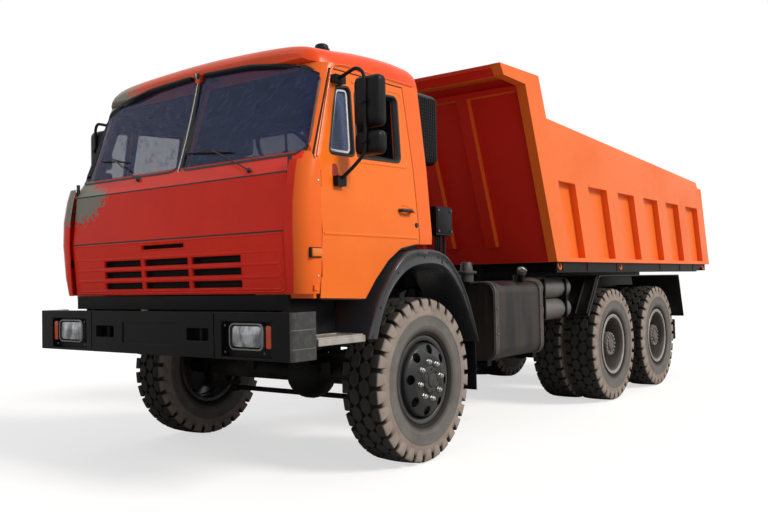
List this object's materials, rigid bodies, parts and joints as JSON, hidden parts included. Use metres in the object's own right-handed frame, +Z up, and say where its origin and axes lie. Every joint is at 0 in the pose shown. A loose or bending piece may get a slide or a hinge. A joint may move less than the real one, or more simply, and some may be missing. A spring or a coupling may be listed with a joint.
{
  "type": "dump truck",
  "caption": "Heavy tipping lorry with a tilting flat-fronted cab, twin-tyred bogie and a ribbed dump body raised by a telescopic ram.",
  "frame": {"origin": "on the ground under the middle of the vehicle's bounding box", "axes": "+Y points to the tail, +X to the vehicle's left, +Z up"},
  "size_m": [2.886, 8.11, 2.949],
  "materials": {
    "cab_paint": "glossy orange-red paint",
    "bed_paint": "satin orange paint",
    "bed_plate": "scraped orange paint",
    "black_steel": "satin black paint",
    "axle_paint": "dark painted castings",
    "silencer_steel": "dull sheet steel",
    "black_plastic": "matt black moulding",
    "lamp_lens": "fluted clear lens",
    "signal_lens": "amber and red lens",
    "window_glass": "tinted glass",
    "seat_cloth": "dark woven cloth",
    "ram_steel": "ground steel",
    "rim_paint": "dusty dark paint",
    "tyre_rubber": "worn dusty rubber"
  },
  "bodies": {
    "chassis": {"ladder_frame": "black_steel", "sub_frame": "black_steel", "bumper": "black_steel", "headlamps": "lamp_lens", "signal_lamps": "signal_lens", "cab_steps": "black_steel", "engine": "axle_paint", "front_axle": "axle_paint", "rear_axles": "axle_paint", "drive_shafts": "black_steel", "springs": "black_steel", "fuel_tank": "black_steel", "air_tanks": "black_steel", "battery_box": "black_steel", "silencer": "silencer_steel", "frame_brackets": "black_steel", "intake_stack": "black_plastic", "valve_box": "black_steel", "wing_rears": "black_plastic", "rear_mudguards": "black_plastic", "rear_bar": "black_steel"},
    "cab": {"cab_shell": "cab_paint", "cab_roof": "cab_paint", "front_surround": "cab_paint", "grille_panel": "cab_paint", "cab_glass": "window_glass", "seats": "seat_cloth", "dashboard": "black_plastic", "wing_fronts": "black_plastic"},
    "flap": {"front_flap": "cab_paint"},
    "left_door": {"door_left": "cab_paint", "door_glass_left": "window_glass", "mirror_left": "black_plastic"},
    "right_door": {"door_right": "cab_paint", "door_glass_right": "window_glass", "mirror_right": "black_plastic"},
    "bed": {"bed_sides": "bed_paint", "bed_front": "bed_paint", "bed_floor": "bed_plate", "bed_frame": "black_steel"},
    "gate": {"tailgate": "bed_paint"},
    "ram_barrel": {"lift_barrel": "ram_steel"},
    "ram_stage_1": {"lift_stage_1": "ram_steel"},
    "ram_stage_2": {"lift_stage_2": "ram_steel"},
    "ram_stage_3": {"lift_stage_3": "ram_steel"},
    "left_knuckle": {"knuckle_left": "axle_paint"},
    "right_knuckle": {"knuckle_right": "axle_paint"},
    "track_rod": {"tie_rod": "axle_paint"},
    "front_left_wheel": {"tyre_front_left": "tyre_rubber", "rim_front_left": "rim_paint"},
    "front_right_wheel": {"tyre_front_right": "tyre_rubber", "rim_front_right": "rim_paint"},
    "middle_left_wheels": {"tyres_rear1_left": "tyre_rubber", "rims_rear1_left": "rim_paint"},
    "middle_right_wheels": {"tyres_rear1_right": "tyre_rubber", "rims_rear1_right": "rim_paint"},
    "rear_left_wheels": {"tyres_rear2_left": "tyre_rubber", "rims_rear2_left": "rim_paint"},
    "rear_right_wheels": {"tyres_rear2_right": "tyre_rubber", "rims_rear2_right": "rim_paint"}
  },
  "joints": [
    {"name": "cab_tilt", "type": "hinge", "parent": "chassis", "child": "cab", "pos_m": [0, -3.835, 1.02], "axis": [1, 0, 0], "range_deg": [0, 42]},
    {"name": "flap_lift", "type": "hinge", "parent": "cab", "child": "flap", "pos_m": [0, -3.878, 1.875], "axis": [-1, 0, 0], "range_deg": [0, 80]},
    {"name": "door_left_hinge", "type": "hinge", "parent": "cab", "child": "left_door", "pos_m": [1.205, -3.756, 1.7], "axis": [0, 0, -1], "range_deg": [0, 70]},
    {"name": "door_right_hinge", "type": "hinge", "parent": "cab", "child": "right_door", "pos_m": [-1.205, -3.756, 1.7], "axis": [0, 0, 1], "range_deg": [0, 70]},
    {"name": "bed_tip", "type": "hinge", "parent": "chassis", "child": "bed", "pos_m": [0, 3.615, 1.11], "axis": [-1, 0, 0], "range_deg": [0, 50]},
    {"name": "tailgate_swing", "type": "hinge", "parent": "bed", "child": "gate", "pos_m": [0, 3.67934, 2.385], "axis": [1, 0, 0], "range_deg": [0, 60]},
    {"name": "ram_tilt", "type": "hinge", "parent": "chassis", "child": "ram_barrel", "pos_m": [0, 1.285, 1], "axis": [-1, 0, 0], "range_deg": [0, 26.1]},
    {"name": "ram_slide_1", "type": "slide", "parent": "ram_barrel", "child": "ram_stage_1", "axis": [0, 0, 1], "range_m": [0, 0.647]},
    {"name": "ram_slide_2", "type": "slide", "parent": "ram_stage_1", "child": "ram_stage_2", "axis": [0, 0, 1], "range_m": [0, 0.647]},
    {"name": "ram_slide_3", "type": "slide", "parent": "ram_stage_2", "child": "ram_stage_3", "axis": [0, 0, 1], "range_m": [0, 0.647]},
    {"name": "steer_left", "type": "hinge", "parent": "chassis", "child": "left_knuckle", "pos_m": [0.86, -2.715, 0.5583], "axis": [0, 0, 1], "range_deg": [-30, 30]},
    {"name": "steer_right", "type": "hinge", "parent": "chassis", "child": "right_knuckle", "pos_m": [-0.86, -2.715, 0.5583], "axis": [0, 0, 1], "range_deg": [-30, 30]},
    {"name": "track_rod_joint", "type": "hinge", "parent": "left_knuckle", "child": "track_rod", "pos_m": [0.86, -2.515, 0.3633], "axis": [0, 0, 1], "range_deg": [-30, 30]},
    {"name": "wheel_front_left", "type": "hinge", "parent": "left_knuckle", "child": "front_left_wheel", "pos_m": [1.0645, -2.715, 0.5583], "axis": [1, 0, 0], "continuous": true},
    {"name": "wheel_front_right", "type": "hinge", "parent": "right_knuckle", "child": "front_right_wheel", "pos_m": [-1.0645, -2.715, 0.5583], "axis": [1, 0, 0], "continuous": true},
    {"name": "wheels_middle_left", "type": "hinge", "parent": "chassis", "child": "middle_left_wheels", "pos_m": [0.921, 0.625, 0.5583], "axis": [1, 0, 0], "continuous": true},
    {"name": "wheels_middle_right", "type": "hinge", "parent": "chassis", "child": "middle_right_wheels", "pos_m": [-0.921, 0.625, 0.5583], "axis": [1, 0, 0], "continuous": true},
    {"name": "wheels_rear_left", "type": "hinge", "parent": "chassis", "child": "rear_left_wheels", "pos_m": [0.921, 1.945, 0.5583], "axis": [1, 0, 0], "continuous": true},
    {"name": "wheels_rear_right", "type": "hinge", "parent": "chassis", "child": "rear_right_wheels", "pos_m": [-0.921, 1.945, 0.5583], "axis": [1, 0, 0], "continuous": true}
  ],
  "couplings": [
    {"joint": "ram_tilt", "follows": "bed_tip", "ratio": 0.5214},
    {"joint": "ram_slide_1", "follows": "bed_tip", "m_per_rad": 0.74095},
    {"joint": "ram_slide_2", "follows": "bed_tip", "m_per_rad": 0.74095},
    {"joint": "ram_slide_3", "follows": "bed_tip", "m_per_rad": 0.74095},
    {"joint": "steer_right", "follows": "steer_left", "ratio": 1},
    {"joint": "track_rod_joint", "follows": "steer_left", "ratio": -1}
  ]
}
